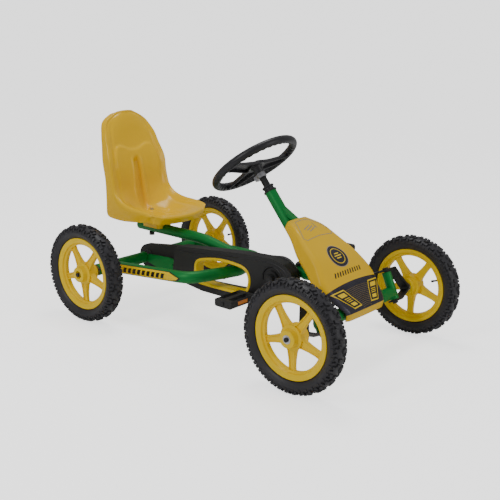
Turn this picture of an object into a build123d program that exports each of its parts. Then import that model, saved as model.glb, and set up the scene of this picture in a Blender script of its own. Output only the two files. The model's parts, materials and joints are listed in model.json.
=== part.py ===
from build123d import *
import math
import os

# Pedal go kart for a child: tubular steel frame, moulded seat and fairing,
# chain drive to the rear axle, and a swinging front axle with tie-rod steering.
# Frame: +X forward, +Y to the driver's left, +Z up; the origin is on the ground
# midway between the axles and midway between the wheels. Millimetres.

# ---- driving dimensions -------------------------------------------------
WHEEL_R = 159.0            # 12 1/2 inch tyre
TYRE_HALF = 28.6
AXLE_X = 417.5             # half the wheelbase
TRACK_HALF = 306.0         # wheel centre plane from the middle
RIM_FLANGE_R = 116.4
RIM_HALF = 17.4
HUB_HALF = 31.0
HUB_R = 25.0
SPOKES = 5

TUBE_R = 17.5              # main tube
WALL = 2.5
TUBE_Z_REAR = 256.5
TUBE_Z_FRONT = 225.0
TUBE_REAR_X = -487.0
TUBE_FRONT_X = 246.0

LOOP_R = 19.0              # rear loop and axle housing
LOOP_PITCH = math.degrees(math.atan2(18.5, 367.0))

CRANK_X, CRANK_Z = 158.0, 207.0
CRANK_LEN = 92.0
SHELL_R, SHELL_Y0, SHELL_LEN = 15.0, -16.0, 56.0   # crank bearing shell
CRANK_AXLE_R, CRANK_AXLE_HALF = 7.5, 92.0
CRANK_DIR = (-71.0 / 92.3, -59.0 / 92.3)
CHAIN_Y = -22.0
PITCH = 12.7
RING_TEETH, SPROCKET_TEETH = 28, 14
RING_R = PITCH / 2 / math.sin(math.pi / RING_TEETH)
SPROCKET_R = PITCH / 2 / math.sin(math.pi / SPROCKET_TEETH)
CHAIN_SAG = 13.0
GUARD_Y = -70.0            # outer face of the front guard
GUARD_BACK = -31.0
GUARD_REAR_Y = -31.0       # outer face of the rear guard

COLUMN_TILT = 39.5         # degrees back from vertical
COLUMN_R = 11.0
HEAD_R = 18.0
RING_CENTRE = (23.0, 0.0, 529.0)
HEAD_TOP_Z, HEAD_BOTTOM_Z = 451.0, 207.0   # heights of the head tube's end centres
WHEEL_RING_R = 132.0
GRIP_R = 13.0
SPOKE_ANGLES = (90, -8, 188)   # steering wheel: one spoke down, two to the sides

BEAM_X, BEAM_Z = 414.0, 160.0
KING_Y = 190.0
CASTER = 24.0              # lean of the kingpins, top to the rear
KING_R = 14.0
KING_TOP, KING_BOTTOM = 66.0, -19.0
STUB_R = 6.0
RUN = 0.05                 # radial running clearance
BUSH_LEN = 10.0            # crank and rear axle bushes
JOINT_X = 200.0            # bolt through the joint of the main tube

sin, cos, rad = math.sin, math.cos, math.radians
CORNERS = {
    "front_left": (AXLE_X, 1), "front_right": (AXLE_X, -1),
    "rear_left": (-AXLE_X, 1), "rear_right": (-AXLE_X, -1),
}
SIDES = {"left": 1, "right": -1}

os.makedirs("parts", exist_ok=True)


def save(part, name):
    """Label a finished piece and write it as a STEP file."""
    part.label = name
    export_step(part, f"parts/{name}.step")


def wheel_section(x, side):
    """Plane through a wheel's axis: local x runs outboard, local y is the radius."""
    return Plane(origin=(x, side * TRACK_HALF, WHEEL_R), x_dir=(0, side, 0), z_dir=(side, 0, 0))


def across(x, y, z, side=1):
    """Plane square to the Y axis; its normal points to +Y for side 1, -Y for side -1."""
    return Plane(origin=(x, y, z), x_dir=(side, 0, 0), z_dir=(0, side, 0))


def ground_line(y=0.0):
    """Vertical plane with local x forward and local y up; its normal is -Y."""
    return Plane(origin=(0, y, 0), x_dir=(1, 0, 0), z_dir=(0, -1, 0))


COLUMN_UP = (-sin(rad(COLUMN_TILT)), 0, cos(rad(COLUMN_TILT)))
# ends of the head tube, measured up the column from the steering wheel's centre
HEAD_TOP = (HEAD_TOP_Z - RING_CENTRE[2]) / COLUMN_UP[2]
HEAD_BOTTOM = (HEAD_BOTTOM_Z - RING_CENTRE[2]) / COLUMN_UP[2]


def column_plane(height=0.0):
    """Plane square to the steering column; local x is +Y, local y is back and down."""
    origin = tuple(c + height * u for c, u in zip(RING_CENTRE, COLUMN_UP))
    return Plane(origin=origin, x_dir=(0, 1, 0), z_dir=COLUMN_UP)


KING_UP = (-sin(rad(CASTER)), 0, cos(rad(CASTER)))


def king_plane(side, height=0.0):
    """Plane square to a kingpin; local x is forward, local y is +Y."""
    origin = (AXLE_X + height * KING_UP[0], side * KING_Y, WHEEL_R + height * KING_UP[2])
    return Plane(origin=origin, x_dir=(cos(rad(CASTER)), 0, sin(rad(CASTER))), z_dir=KING_UP)


def bracket_plane(side):
    """Plane through a kingpin's axis and the stub axle; local x outboard, y up the pin."""
    return Plane(origin=(AXLE_X, side * KING_Y, WHEEL_R), x_dir=(0, side, 0),
                 z_dir=(side * cos(rad(CASTER)), 0, side * sin(rad(CASTER))))


# ---- wheels -------------------------------------------------------------
TYRE_OUTLINE = [(13.6, 103), (14.0, 117.2), (19, 119), (25.5, 127), (TYRE_HALF, 138), (27.8, 146),
                (24, 152), (13, 157.4), (0, WHEEL_R)]
TYRE_INSIDE = [(0, 151), (12, 150), (20, 145), (23, 137), (21, 129), (15, 123), (9, 119),
               (9, 103)]
RIM_HALF_OUTLINE = [(9.5, 94), (RIM_HALF, 101), (RIM_HALF, RIM_FLANGE_R),
                    (RIM_HALF - 3, RIM_FLANGE_R), (RIM_HALF - 3, 102.5), (8, 98)]
RIM_OUTLINE = RIM_HALF_OUTLINE + [(-a, r) for a, r in reversed(RIM_HALF_OUTLINE)]
BEARING_R, BEARING_W = 12.0, 6.0

for corner, (x, side) in CORNERS.items():
    section = wheel_section(x, side)
    axle = Axis((x, side * TRACK_HALF, WHEEL_R), (0, side, 0))
    outline = TYRE_OUTLINE + [(-a, r) for a, r in reversed(TYRE_OUTLINE[:-1])]
    inside = [(-a, r) for a, r in reversed(TYRE_INSIDE)] + TYRE_INSIDE[1:]
    driven = corner == "rear_right"

    with BuildPart() as tyre:
        with BuildSketch(section):
            with BuildLine():
                Polyline(*outline, *inside, close=True)
            make_face()
        revolve(axis=axle)
    save(tyre.part, f"tyre_{corner}")

    with BuildPart() as rim:
        with BuildSketch(section):
            with BuildLine():
                Polyline(*RIM_OUTLINE, close=True)
            make_face()
            with Locations((0, HUB_R / 2)):
                Rectangle(2 * HUB_HALF, HUB_R)
            with Locations((-4, 17.5)):
                Rectangle(36, 35)
        revolve(axis=axle)
        with BuildSketch(across(x, side * TRACK_HALF, WHEEL_R, side)):
            with PolarLocations(0, SPOKES, start_angle=90):
                Polygon((20, 11), (96, 8), (96, -8), (20, -11), align=None)
        extrude(amount=8, both=True)
        with BuildSketch(across(x, side * TRACK_HALF, WHEEL_R, side)):
            Circle(STUB_R + RUN if driven else STUB_R + 2)
        extrude(amount=HUB_HALF, both=True, mode=Mode.SUBTRACT)
        if not driven:
            for end in (1, -1):
                with BuildSketch(across(x, side * TRACK_HALF + end * HUB_HALF, WHEEL_R, -end)):
                    Circle(BEARING_R)
                extrude(amount=BEARING_W, mode=Mode.SUBTRACT)
    save(rim.part, f"rim_{corner}")

    if not driven:
        with BuildPart() as wheel_bearings:
            for end in (1, -1):
                with BuildSketch(across(x, side * TRACK_HALF + end * HUB_HALF, WHEEL_R, -end)):
                    Circle(BEARING_R)
                    Circle(STUB_R + RUN, mode=Mode.SUBTRACT)
                extrude(amount=BEARING_W)
        save(wheel_bearings.part, f"bearings_{corner}")

# ---- main tube ----------------------------------------------------------
with BuildLine(ground_line()) as tube_line:
    FilletPolyline((TUBE_REAR_X, TUBE_Z_REAR), (-190, TUBE_Z_REAR), (-30, TUBE_Z_FRONT),
                   (TUBE_FRONT_X, TUBE_Z_FRONT), radius=340)
TUBE_PATH = tube_line.line
TUBE_START = Plane(TUBE_PATH @ 0, z_dir=TUBE_PATH % 0)

with BuildPart() as main_tube:
    with BuildSketch(TUBE_START):
        Circle(TUBE_R)
        Circle(TUBE_R - WALL, mode=Mode.SUBTRACT)
    sweep(path=TUBE_PATH)
    # the front end is coped to the head tube
    with BuildSketch(column_plane(HEAD_BOTTOM)):
        Circle(HEAD_R)
    extrude(amount=HEAD_TOP - HEAD_BOTTOM, mode=Mode.SUBTRACT)
    # notch for the crank bearing shell
    with BuildSketch(across(CRANK_X, -25, CRANK_Z)):
        Circle(SHELL_R)
    extrude(amount=50, mode=Mode.SUBTRACT)
    # cross hole for the joint bolt
    with BuildSketch(Plane.XY.offset(TUBE_Z_FRONT - TUBE_R - 9)):
        with Locations((JOINT_X, 0)):
            Circle(4.2)
    extrude(amount=2 * TUBE_R + 20, mode=Mode.SUBTRACT)
save(main_tube.part, "main_tube")

with BuildPart() as crank_shell:
    with BuildSketch(across(CRANK_X, SHELL_Y0, CRANK_Z)):
        Circle(SHELL_R)
        Circle(SHELL_R - WALL, mode=Mode.SUBTRACT)
    extrude(amount=SHELL_LEN)
save(crank_shell.part, "crank_shell")

with BuildPart() as crank_bushes:
    for y0 in (SHELL_Y0, SHELL_Y0 + SHELL_LEN - BUSH_LEN):
        with BuildSketch(across(CRANK_X, y0, CRANK_Z)):
            Circle(SHELL_R - WALL)
            Circle(CRANK_AXLE_R + RUN, mode=Mode.SUBTRACT)
        extrude(amount=BUSH_LEN)
save(crank_bushes.part, "crank_bushes")

# ---- rear loop, axle housing and brackets -------------------------------
loop_plane = Plane(origin=(-AXLE_X, 0, 161.5),
                   x_dir=(cos(rad(LOOP_PITCH)), 0, sin(rad(LOOP_PITCH))),
                   z_dir=(-sin(rad(LOOP_PITCH)), 0, cos(rad(LOOP_PITCH))))
LOOP_HALF = [(5, 202), (60, 198), (326, 166), (372, 46)]
loop_points = ([(x, -y) for x, y in LOOP_HALF] + [(386, 0)]
               + [(x, y) for x, y in reversed(LOOP_HALF)])

with BuildLine(loop_plane) as loop_line:
    FilletPolyline(*loop_points, radius=(60, 62, 45, 45, 45, 62, 60))
LOOP_PATH = loop_line.line
LOOP_START = Plane(LOOP_PATH @ 0, z_dir=LOOP_PATH % 0)

with BuildPart() as rear_loop:
    with BuildSketch(LOOP_START):
        Circle(LOOP_R)
        Circle(LOOP_R - WALL, mode=Mode.SUBTRACT)
    sweep(path=LOOP_PATH)
    with BuildSketch(across(-AXLE_X, -260, WHEEL_R)):
        Circle(LOOP_R)
    extrude(amount=520, mode=Mode.SUBTRACT)
save(rear_loop.part, "rear_loop")

HOUSING = ((-262.0, 214.0), (22.0, 240.0))   # start Y and length, each side of the drive

with BuildPart() as axle_housing:
    for y0, length in HOUSING:
        with BuildSketch(across(-AXLE_X, y0, WHEEL_R)):
            Circle(LOOP_R)
            Circle(LOOP_R - WALL, mode=Mode.SUBTRACT)
        extrude(amount=length)
save(axle_housing.part, "axle_housing")

with BuildPart() as axle_bushes:
    for y0 in (-262, -58, 22, 252):
        with BuildSketch(across(-AXLE_X, y0, WHEEL_R)):
            Circle(LOOP_R - WALL)
            Circle(STUB_R + RUN, mode=Mode.SUBTRACT)
        extrude(amount=BUSH_LEN)
save(axle_bushes.part, "axle_bushes")

# folded plate from the housing forward, then up to the main tube
with BuildPart() as hub_bracket:
    with BuildSketch(ground_line(-46)):
        with BuildLine():
            Polyline((-400, 146), (-398, 174), (-300, 180), (-262, 176), (-262, 138), (-330, 128),
                     close=True)
        make_face()
        with Locations((-278, 158)):
            Circle(4.2, mode=Mode.SUBTRACT)
    extrude(amount=4)
    with BuildSketch(across(-AXLE_X, -60, WHEEL_R)):
        Circle(LOOP_R)
    extrude(amount=40, mode=Mode.SUBTRACT)
save(hub_bracket.part, "hub_bracket")

# upright that ties the middle of the loop and the housing to the main tube
with BuildPart() as tube_saddle:
    with BuildSketch(Plane(origin=(-44, 0, 190), x_dir=(1, 0, 0), z_dir=(0, 0, 1))):
        RectangleRounded(34, 28, 8)
    extrude(amount=40)
    with BuildSketch(TUBE_START):
        Circle(TUBE_R)
    sweep(path=TUBE_PATH, mode=Mode.SUBTRACT)
    with BuildSketch(LOOP_START):
        Circle(LOOP_R)
    sweep(path=LOOP_PATH, mode=Mode.SUBTRACT)
save(tube_saddle.part, "tube_saddle")

# ---- steering head weldment ---------------------------------------------
LUG_X = (371.0, 393.0)

with BuildPart() as front_frame:
    # socket that the main tube slides into
    with BuildSketch(Plane(origin=(226, 0, TUBE_Z_FRONT), x_dir=(0, 1, 0), z_dir=(1, 0, 0))):
        Circle(TUBE_R + WALL)
        Circle(TUBE_R + RUN, mode=Mode.SUBTRACT)
    extrude(amount=34)
    with BuildSketch(column_plane(HEAD_BOTTOM)):
        Circle(HEAD_R)
    extrude(amount=HEAD_TOP - HEAD_BOTTOM)
    # lower tube to the axle pivot
    with BuildLine(ground_line()) as lower_line:
        FilletPolyline((246, 262), (340, 240), (384, 168), radius=40)
    with BuildSketch(Plane(lower_line.line @ 0, z_dir=lower_line.line % 0)):
        Circle(15)
    sweep()
    with BuildSketch(Plane(origin=(LUG_X[0], 0, BEAM_Z), x_dir=(0, 1, 0), z_dir=(1, 0, 0))):
        Circle(15)
    extrude(amount=LUG_X[1] - LUG_X[0])
    # tab that carries the top of the fairing
    with BuildSketch(ground_line(-11)):
        with BuildLine():
            Polyline((128, 418), (190, 383), (204, 366), (199, 362), (184, 376), (128, 406),
                     close=True)
        make_face()
    extrude(amount=-22)
    with BuildSketch(column_plane(HEAD_BOTTOM)):
        Circle(HEAD_R - WALL)
    extrude(amount=HEAD_TOP - HEAD_BOTTOM, mode=Mode.SUBTRACT)
    with BuildSketch(Plane(origin=(LUG_X[0] - 12, 0, BEAM_Z), x_dir=(0, 1, 0), z_dir=(1, 0, 0))):
        Circle(STUB_R + RUN)
    extrude(amount=40, mode=Mode.SUBTRACT)
    # flat under the pivot bolt's nut
    with BuildSketch(Plane(origin=(LUG_X[0], 0, BEAM_Z), x_dir=(0, 1, 0), z_dir=(-1, 0, 0))):
        Circle(11)
    extrude(amount=12, mode=Mode.SUBTRACT)
save(front_frame.part, "front_frame")

with BuildPart() as column_bushes:
    for h0 in (HEAD_TOP - 14, HEAD_BOTTOM):
        with BuildSketch(column_plane(h0)):
            Circle(HEAD_R - WALL)
            Circle(COLUMN_R + RUN, mode=Mode.SUBTRACT)
        extrude(amount=14)
save(column_bushes.part, "column_bushes")

with BuildPart() as head_collar:
    for h0, radius, depth in ((HEAD_TOP, 20.0, 9.0), (HEAD_TOP + 9, 16.0, 12.0)):
        with BuildSketch(column_plane(h0)):
            Circle(radius)
            Circle(COLUMN_R + 0.4, mode=Mode.SUBTRACT)
        extrude(amount=depth)
save(head_collar.part, "head_collar")

# bolt through the tube joint, from the top, with its nut underneath
with BuildPart() as joint_bolt:
    with BuildSketch(Plane.XY.offset(TUBE_Z_FRONT + TUBE_R)):
        with Locations((JOINT_X, 0)):
            Circle(7)
    extrude(amount=8)
    with BuildSketch(Plane.XY.offset(TUBE_Z_FRONT - TUBE_R - 9)):
        with Locations((JOINT_X, 0)):
            Circle(4)
    extrude(amount=2 * TUBE_R + 12)
    with BuildSketch(Plane.XY.offset(TUBE_Z_FRONT - TUBE_R - 6)):
        with Locations((JOINT_X, 0)):
            RegularPolygon(7.5, 6)
    extrude(amount=6)
    with BuildSketch(Plane.XY.offset(TUBE_Z_FRONT + TUBE_R + 7.5)):
        with Locations((JOINT_X, 0)):
            RegularPolygon(3.4, 6)
    extrude(amount=-5, mode=Mode.SUBTRACT)
save(joint_bolt.part, "joint_bolt")

# ---- fairing ------------------------------------------------------------
# stations down the nose: centre X, Z, elevation of the face normal, half width,
# crown of the face and depth of the flanks
FAIRING = [
    (190.0, 386.0, 70.0, 47.0, 2.0, 24.0),
    (240.0, 369.0, 62.0, 69.0, 3.0, 34.0),
    (290.0, 335.0, 52.0, 88.0, 3.0, 44.0),
    (340.0, 299.0, 48.0, 104.0, 3.0, 46.0),
    (384.0, 252.0, 42.0, 124.0, 5.0, 32.0),
    (420.0, 209.0, 39.0, 112.0, 4.0, 12.0),
    (449.0, 175.0, 25.0, 95.0, 3.0, 8.0),
    (447.0, 148.0, 2.0, 92.0, 2.0, 8.0),
]
SKIN = 3.0


def station_plane(x, z, pitch):
    """Plane square to the nose line; local x is +Y, local y is the outward face normal."""
    out = (cos(rad(pitch)), 0, sin(rad(pitch)))
    return Plane(origin=(x, 0, z), x_dir=(0, 1, 0), z_dir=(out[2], 0, -out[0]))


def nose_profile(half, crown, depth, inset=0.0, extra=0.0):
    """Closed outline of the nose at one station: crowned face and two flanks."""
    w, top = half - inset, -inset
    shoulder = -crown - inset * 0.7
    with BuildLine() as outline:
        face = ThreePointArc((w, shoulder), (0, top), (-w, shoulder))
        Polyline(face @ 1, (-w - 3 + inset * 0.2, shoulder - depth - extra),
                 (w + 3 - inset * 0.2, shoulder - depth - extra), face @ 0)
    make_face(outline.edges())


with BuildPart() as fairing:
    for x, z, pitch, half, crown, depth in FAIRING:
        with BuildSketch(station_plane(x, z, pitch)):
            nose_profile(half, crown, depth)
    loft()
    for x, z, pitch, half, crown, depth in FAIRING:
        with BuildSketch(station_plane(x, z, pitch)):
            nose_profile(half, crown, depth, inset=SKIN, extra=5)
    loft(mode=Mode.SUBTRACT)
save(fairing.part, "fairing")

# ---- chain guard --------------------------------------------------------
GUARD_LINE = [(-250, 229), (-228, 236), (-97, 249), (41, 263), (152, 268), (196, 259), (226, 238),
              (232, 205), (215, 165), (175, 140), (60, 120), (-52, 106), (-130, 106), (-208, 116),
              (-262, 140)]
WINDOW = [(-150, 192), (-120, 207), (-48, 219), (28, 216), (54, 204), (62, 180), (54, 152), (38, 141),
          (-131, 138), (-150, 150)]


def rounded_outline(points, radius):
    """Closed outline through the given corners, each rounded to the radius."""
    with BuildLine() as outline:
        FilletPolyline(*points, radius=radius, close=True)
    make_face(outline.edges())


with BuildPart() as chain_guard_front:
    with BuildSketch(ground_line(GUARD_BACK)):
        rounded_outline(GUARD_LINE, 14)
    extrude(amount=GUARD_BACK - GUARD_Y)
    with BuildSketch(ground_line(GUARD_BACK)):
        rounded_outline(GUARD_LINE, 14)
        offset(amount=-3)
    extrude(amount=GUARD_BACK - GUARD_Y - 3, mode=Mode.SUBTRACT)
    with BuildSketch(ground_line(GUARD_BACK)):
        rounded_outline(WINDOW, 8)
        offset(amount=4)
    extrude(amount=GUARD_BACK - GUARD_Y, mode=Mode.SUBTRACT)
    with BuildSketch(across(CRANK_X, GUARD_BACK, CRANK_Z, -1)):
        Circle(11)
    extrude(amount=60, mode=Mode.SUBTRACT)
save(chain_guard_front.part, "chain_guard_front")

with BuildPart() as guard_trim:
    with BuildSketch(ground_line(GUARD_BACK - 6)):
        rounded_outline(WINDOW, 8)
        offset(amount=4)
        offset(amount=-3, mode=Mode.SUBTRACT)
    extrude(amount=GUARD_BACK - 6 - GUARD_Y + 1)
save(guard_trim.part, "guard_trim")

REAR_GUARD_R = 42.0
with BuildPart() as chain_guard_rear:
    with BuildSketch(ground_line(-9)):
        with BuildLine():
            Polyline((-AXLE_X, WHEEL_R + REAR_GUARD_R), (-246, 224), (-246, 113),
                     (-AXLE_X, WHEEL_R - REAR_GUARD_R))
            ThreePointArc((-AXLE_X, WHEEL_R - REAR_GUARD_R), (-AXLE_X - REAR_GUARD_R, WHEEL_R),
                          (-AXLE_X, WHEEL_R + REAR_GUARD_R))
        make_face()
    extrude(amount=-9 - GUARD_REAR_Y)
    with BuildSketch(ground_line(-11.5)):
        with BuildLine():
            Polyline((-AXLE_X, WHEEL_R + REAR_GUARD_R - 2.5), (-240, 222), (-240, 115.5),
                     (-AXLE_X, WHEEL_R - REAR_GUARD_R + 2.5))
            ThreePointArc((-AXLE_X, WHEEL_R - REAR_GUARD_R + 2.5),
                          (-AXLE_X - REAR_GUARD_R + 2.5, WHEEL_R),
                          (-AXLE_X, WHEEL_R + REAR_GUARD_R - 2.5))
        make_face()
    extrude(amount=-14 - GUARD_REAR_Y, mode=Mode.SUBTRACT)
    with BuildSketch(across(-AXLE_X, -40, WHEEL_R)):
        Circle(9)
    extrude(amount=40, mode=Mode.SUBTRACT)
save(chain_guard_rear.part, "chain_guard_rear")

with BuildPart() as guard_screws:
    for sx, sz in ((-270, 196), (-270, 140)):
        with BuildSketch(across(sx, GUARD_REAR_Y, sz, -1)):
            Circle(5)
        extrude(amount=3.5)
        with BuildSketch(across(sx, GUARD_REAR_Y - 3.5, sz)):
            RegularPolygon(2.2, 6)
        extrude(amount=2.5, mode=Mode.SUBTRACT)
save(guard_screws.part, "guard_screws")

# ---- drive: rear axle, sprocket, chain, chainring, cranks ---------------
AXLE_END = TRACK_HALF + HUB_HALF
with BuildPart() as rear_axle:
    with BuildSketch(across(-AXLE_X, -AXLE_END, WHEEL_R)):
        Circle(STUB_R)
    extrude(amount=2 * AXLE_END)
save(rear_axle.part, "rear_axle")


def toothed(teeth, pitch_r, tooth=3.2):
    """Chain wheel outline: a disc with one rounded tooth per pitch."""
    Circle(pitch_r - 3.6)
    with PolarLocations(0, teeth):
        Polygon((pitch_r - 5, 3.4), (pitch_r + tooth, 1.2), (pitch_r + tooth, -1.2),
                (pitch_r - 5, -3.4), align=None)


with BuildPart() as sprocket:
    with BuildSketch(across(-AXLE_X, CHAIN_Y - 1, WHEEL_R)):
        toothed(SPROCKET_TEETH, SPROCKET_R)
        Circle(STUB_R, mode=Mode.SUBTRACT)
    extrude(amount=2)
    with BuildSketch(across(-AXLE_X, CHAIN_Y + 1, WHEEL_R)):
        Circle(14)
        Circle(STUB_R, mode=Mode.SUBTRACT)
    extrude(amount=7)
save(sprocket.part, "sprocket")

with BuildPart() as drive_hub:
    with BuildSketch(across(-AXLE_X, -7, WHEEL_R)):
        Circle(30)
        Circle(STUB_R, mode=Mode.SUBTRACT)
    extrude(amount=27)
    fillet(drive_hub.edges().filter_by(GeomType.CIRCLE).group_by(SortBy.RADIUS)[-1], 5)
save(drive_hub.part, "drive_hub")

with BuildPart() as axle_nuts:
    for side in (1, -1):
        with BuildSketch(across(-AXLE_X, side * AXLE_END, WHEEL_R, side)):
            Circle(6.5)
        extrude(amount=4)
save(axle_nuts.part, "axle_nuts_rear")

with BuildPart() as crank_axle:
    with BuildSketch(across(CRANK_X, -CRANK_AXLE_HALF, CRANK_Z)):
        Circle(CRANK_AXLE_R)
    extrude(amount=2 * CRANK_AXLE_HALF)
save(crank_axle.part, "crank_axle")

with BuildPart() as chainring:
    with BuildSketch(across(CRANK_X, CHAIN_Y - 1, CRANK_Z)):
        toothed(RING_TEETH, RING_R)
        Circle(CRANK_AXLE_R, mode=Mode.SUBTRACT)
        with PolarLocations(34, 5):
            Circle(9, mode=Mode.SUBTRACT)
    extrude(amount=2)
    with BuildSketch(across(CRANK_X, CHAIN_Y + 1, CRANK_Z)):
        Circle(13)
        Circle(CRANK_AXLE_R, mode=Mode.SUBTRACT)
    extrude(amount=4)
save(chainring.part, "chainring")

# chain: side plates round both wheels, with pins along the free runs only
ring_c, spro_c = (CRANK_X, CRANK_Z), (-AXLE_X, WHEEL_R)
span = math.dist(ring_c, spro_c)
base_angle = math.degrees(math.atan2(ring_c[1] - spro_c[1], ring_c[0] - spro_c[0]))
lead = math.degrees(math.asin((RING_R - SPROCKET_R) / span))


def on_circle(centre, radius, angle):
    """Point on a circle in the chain plane."""
    return (centre[0] + radius * cos(rad(angle)), centre[1] + radius * sin(rad(angle)))


top_a = base_angle + 90 + lead
low_a = base_angle - 90 - lead
ring_top, ring_low = on_circle(ring_c, RING_R, top_a), on_circle(ring_c, RING_R, low_a)
spro_top, spro_low = on_circle(spro_c, SPROCKET_R, top_a), on_circle(spro_c, SPROCKET_R, low_a)
sag_point = ((ring_low[0] + spro_low[0]) / 2, (ring_low[1] + spro_low[1]) / 2 - CHAIN_SAG)


def chain_path(grow, mode):
    """Face inside the chain's path, grown by the given amount."""
    p = [on_circle(ring_c, RING_R + grow, a) for a in (low_a, base_angle, top_a)]
    q = [on_circle(spro_c, SPROCKET_R + grow, a) for a in (top_a, base_angle + 180, low_a)]
    with BuildLine() as path:
        ThreePointArc(*p)
        Line(p[2], q[0])
        ThreePointArc(*q)
        ThreePointArc(q[2], (sag_point[0], sag_point[1] - grow), p[0])
    make_face(path.edges(), mode=mode)


pins = []
for i in range(4, 42):
    t = i / 45
    pins.append((spro_top[0] + t * (ring_top[0] - spro_top[0]),
                 spro_top[1] + t * (ring_top[1] - spro_top[1])))
    if 5 < i < 40:
        drop = 4 * CHAIN_SAG * t * (1 - t)
        pins.append((spro_low[0] + t * (ring_low[0] - spro_low[0]),
                     spro_low[1] + t * (ring_low[1] - spro_low[1]) - drop))

with BuildPart() as chain:
    for y0 in (CHAIN_Y - 2.6, CHAIN_Y + 3.8):
        with BuildSketch(ground_line(y0)):
            chain_path(4.0, Mode.ADD)
            chain_path(-4.0, Mode.SUBTRACT)
        extrude(amount=1.2)
    with BuildSketch(ground_line(CHAIN_Y + 3.0)):
        with Locations(*pins):
            Circle(2.6)
    extrude(amount=6.0)
save(chain.part, "chain")

PEDAL_Y0, PEDAL_LEN = 105.0, 108.0
PEDAL_DEPTH, PEDAL_HEIGHT = 64.0, 24.0
for name, side in SIDES.items():
    reach = -side
    px = CRANK_X + reach * CRANK_LEN * CRANK_DIR[0]
    pz = CRANK_Z + reach * CRANK_LEN * CRANK_DIR[1]
    with BuildPart() as crank_arm:
        with BuildSketch(across(CRANK_X, side * 80, CRANK_Z, side)):
            Circle(16)
        extrude(amount=12)
        with BuildSketch(across(CRANK_X, side * 72, CRANK_Z, side)):
            Circle(26)
        extrude(amount=8)
        with BuildSketch(ground_line(side * 80)):
            with Locations(Location(((CRANK_X + px) / 2, (CRANK_Z + pz) / 2),
                                    math.degrees(math.atan2(pz - CRANK_Z, px - CRANK_X)))):
                SlotCenterToCenter(CRANK_LEN, 22)
        extrude(amount=-side * 12)
        with BuildSketch(across(px, side * 80, pz, side)):
            Circle(5)
        extrude(amount=28 + PEDAL_LEN)
        with BuildSketch(across(CRANK_X, side * 70, CRANK_Z, side)):
            Circle(CRANK_AXLE_R)
        extrude(amount=22, mode=Mode.SUBTRACT)
    save(crank_arm.part, f"crank_{name}")

    middle = side * (PEDAL_Y0 + PEDAL_LEN / 2)
    with BuildPart() as pedal:
        with BuildSketch(across(px, side * PEDAL_Y0, pz, side)):
            RectangleRounded(PEDAL_DEPTH, PEDAL_HEIGHT, 6)
        extrude(amount=PEDAL_LEN)
        with BuildSketch(Plane.XY.offset(pz)):
            with Locations((px - 18, middle), (px + 18, middle)):
                RectangleRounded(20, PEDAL_LEN - 26, 4)
        extrude(amount=PEDAL_HEIGHT, both=True, mode=Mode.SUBTRACT)
        for end in (1, -1):
            with BuildSketch(Plane(origin=(px + end * 28.5, middle, pz), x_dir=(0, end, 0),
                                   z_dir=(end, 0, 0))):
                Rectangle(46, 13)
            extrude(amount=10, mode=Mode.SUBTRACT)
        with BuildSketch(across(px, side * (PEDAL_Y0 - 1), pz, side)):
            Circle(5 + RUN)
        extrude(amount=PEDAL_LEN + 2, mode=Mode.SUBTRACT)
    save(pedal.part, f"pedal_{name}")

    with BuildPart() as reflectors:
        for end in (1, -1):
            with BuildSketch(Plane(origin=(px + end * 28.7, middle, pz), x_dir=(0, end, 0),
                                   z_dir=(end, 0, 0))):
                Rectangle(45, 12)
            extrude(amount=1.5)
    save(reflectors.part, f"reflectors_{name}")

# ---- front axle ---------------------------------------------------------
with BuildPart() as front_beam:
    with BuildSketch(across(BEAM_X, -KING_Y, BEAM_Z)):
        Circle(19)
    extrude(amount=2 * KING_Y)
    with BuildSketch(across(BEAM_X, -KING_Y + 20, BEAM_Z)):
        Circle(19 - WALL)
    extrude(amount=2 * KING_Y - 40, mode=Mode.SUBTRACT)
    for side in (1, -1):
        with BuildSketch(king_plane(side, KING_BOTTOM)):
            Circle(KING_R)
        extrude(amount=KING_TOP - KING_BOTTOM)
    for side in (1, -1):
        with BuildSketch(king_plane(side, KING_BOTTOM - 30)):
            Circle(STUB_R + RUN)
        extrude(amount=KING_TOP - KING_BOTTOM + 60, mode=Mode.SUBTRACT)
        with BuildSketch(king_plane(side, KING_BOTTOM)):
            Circle(19.5)
        extrude(amount=-30, mode=Mode.SUBTRACT)
    with BuildSketch(Plane(origin=(BEAM_X - 30, 0, BEAM_Z), x_dir=(0, 1, 0), z_dir=(1, 0, 0))):
        Circle(STUB_R)
    extrude(amount=60, mode=Mode.SUBTRACT)
save(front_beam.part, "front_beam")

with BuildPart() as pivot_bolt:
    with BuildSketch(Plane(origin=(358, 0, BEAM_Z), x_dir=(0, 1, 0), z_dir=(1, 0, 0))):
        Circle(STUB_R)
    extrude(amount=BEAM_X + 19 - 358)
    with BuildSketch(Plane(origin=(361, 0, BEAM_Z), x_dir=(0, 1, 0), z_dir=(1, 0, 0))):
        RegularPolygon(10, 6)
    extrude(amount=8)
    with BuildSketch(Plane(origin=(BEAM_X + 19, 0, BEAM_Z), x_dir=(0, 1, 0), z_dir=(1, 0, 0))):
        Circle(9)
    extrude(amount=4)
save(pivot_bolt.part, "pivot_bolt")

# ---- steering knuckles --------------------------------------------------
PLATE = 5.0
LIP = 70.0                 # underside of the top lip above the wheel axis, along the pin
ARM = (-42.0, -24.0)       # steering arm end from the kingpin: forward, outboard
BRACKET = [(-14, LIP + PLATE - 0.5), (34, LIP + PLATE - 0.5), (73, 4), (73, -6), (20, -26),
           (-13, -26), (-13, -21), (18.5, -21), (67.5, -3), (67.5, 2), (31.5, LIP), (-14, LIP)]

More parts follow.
